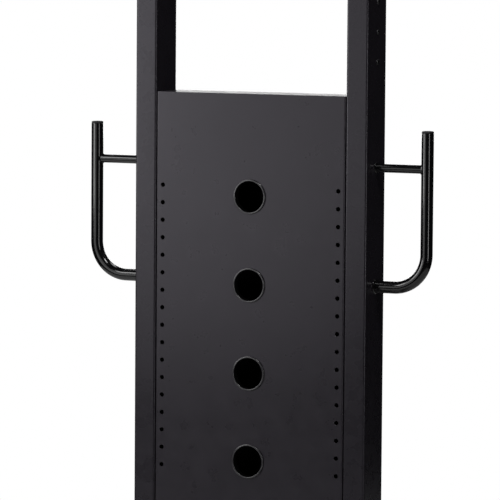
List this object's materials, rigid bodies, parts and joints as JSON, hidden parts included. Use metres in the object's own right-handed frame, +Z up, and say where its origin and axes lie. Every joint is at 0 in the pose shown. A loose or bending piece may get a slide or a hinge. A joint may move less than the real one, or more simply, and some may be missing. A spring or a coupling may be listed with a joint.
{
  "type": "power tower",
  "caption": "Free-standing two-post tower with a ported panel box, J-shaped side handles, a pull-up bar, and a base on levelling feet and transport wheels.",
  "frame": {"origin": "on the floor, in the middle of the base, between the two uprights", "axes": "+Z up, -Y to the front where the user stands and the pull-up bar reaches, +X to the right seen from the front"},
  "size_m": [1.0136, 1.1, 2.0843],
  "materials": {
    "frame_coat": "satin powder coat, dark charcoal",
    "panel_coat": "satin powder coat, dark charcoal",
    "gloss_black": "gloss black",
    "rim_black": "semi-gloss black",
    "black_steel": "black oxide, oiled",
    "zinc_steel": "zinc plated",
    "black_plastic": "fine grained, black",
    "grip_rubber": "ribbed, matte black",
    "foot_rubber": "matte black",
    "wheel_rubber": "matte dark grey"
  },
  "bodies": {
    "frame": {"left_upright": "frame_coat", "left_upright_extension": "frame_coat", "left_splice_sleeve": "zinc_steel", "left_splice_screw_1": "black_steel", "left_splice_screw_2": "black_steel", "left_splice_screw_3": "black_steel", "left_upright_cap": "black_plastic", "right_upright": "frame_coat", "right_upright_extension": "frame_coat", "right_splice_sleeve": "zinc_steel", "right_splice_screw_1": "black_steel", "right_splice_screw_2": "black_steel", "right_splice_screw_3": "black_steel", "right_upright_cap": "black_plastic", "front_panel": "panel_coat", "rear_panel": "panel_coat", "panel_lid": "panel_coat", "panel_floor": "panel_coat", "left_hole_strip": "black_steel", "right_hole_strip": "black_steel", "port_rim_1": "rim_black", "port_rim_2": "rim_black", "port_rim_3": "rim_black", "port_rim_4": "rim_black", "left_handle_tube": "gloss_black", "left_handle_stay": "gloss_black", "left_handle_cap": "black_plastic", "right_handle_tube": "gloss_black", "right_handle_stay": "gloss_black", "right_handle_cap": "black_plastic", "front_base_beam": "frame_coat", "front_left_beam_cap": "black_plastic", "front_right_beam_cap": "black_plastic", "rear_base_beam": "frame_coat", "rear_left_beam_cap": "black_plastic", "rear_right_beam_cap": "black_plastic", "centre_base_beam": "frame_coat", "left_base_rail": "frame_coat", "left_upright_shoe": "frame_coat", "left_wheel_axle": "zinc_steel", "left_wheel_bracket": "black_steel", "right_base_rail": "frame_coat", "right_upright_shoe": "frame_coat", "right_wheel_axle": "zinc_steel", "right_wheel_bracket": "black_steel", "top_cross_beam": "frame_coat", "pull_up_bar": "gloss_black", "left_bar_grip": "grip_rubber", "left_bar_cap": "black_plastic", "left_bar_arm": "frame_coat", "right_bar_grip": "grip_rubber", "right_bar_cap": "black_plastic", "right_bar_arm": "frame_coat"},
    "front_left_foot": {"front_left_levelling_foot": "foot_rubber"},
    "front_right_foot": {"front_right_levelling_foot": "foot_rubber"},
    "rear_left_foot": {"rear_left_levelling_foot": "foot_rubber"},
    "rear_right_foot": {"rear_right_levelling_foot": "foot_rubber"},
    "left_wheel": {"left_wheel": "wheel_rubber"},
    "right_wheel": {"right_wheel": "wheel_rubber"}
  },
  "joints": [
    {"name": "front_left_foot_travel", "type": "slide", "parent": "frame", "child": "front_left_foot", "axis": [0, 0, -1], "range_m": [-0.01, 0.015]},
    {"name": "front_right_foot_travel", "type": "slide", "parent": "frame", "child": "front_right_foot", "axis": [0, 0, -1], "range_m": [-0.01, 0.015]},
    {"name": "rear_left_foot_travel", "type": "slide", "parent": "frame", "child": "rear_left_foot", "axis": [0, 0, -1], "range_m": [-0.01, 0.015]},
    {"name": "rear_right_foot_travel", "type": "slide", "parent": "frame", "child": "rear_right_foot", "axis": [0, 0, -1], "range_m": [-0.01, 0.015]},
    {"name": "left_wheel_spin", "type": "hinge", "parent": "frame", "child": "left_wheel", "pos_m": [-0.3, 0.5125, 0.0415], "axis": [1, 0, 0], "continuous": true},
    {"name": "right_wheel_spin", "type": "hinge", "parent": "frame", "child": "right_wheel", "pos_m": [0.3, 0.5125, 0.0415], "axis": [1, 0, 0], "continuous": true}
  ]
}
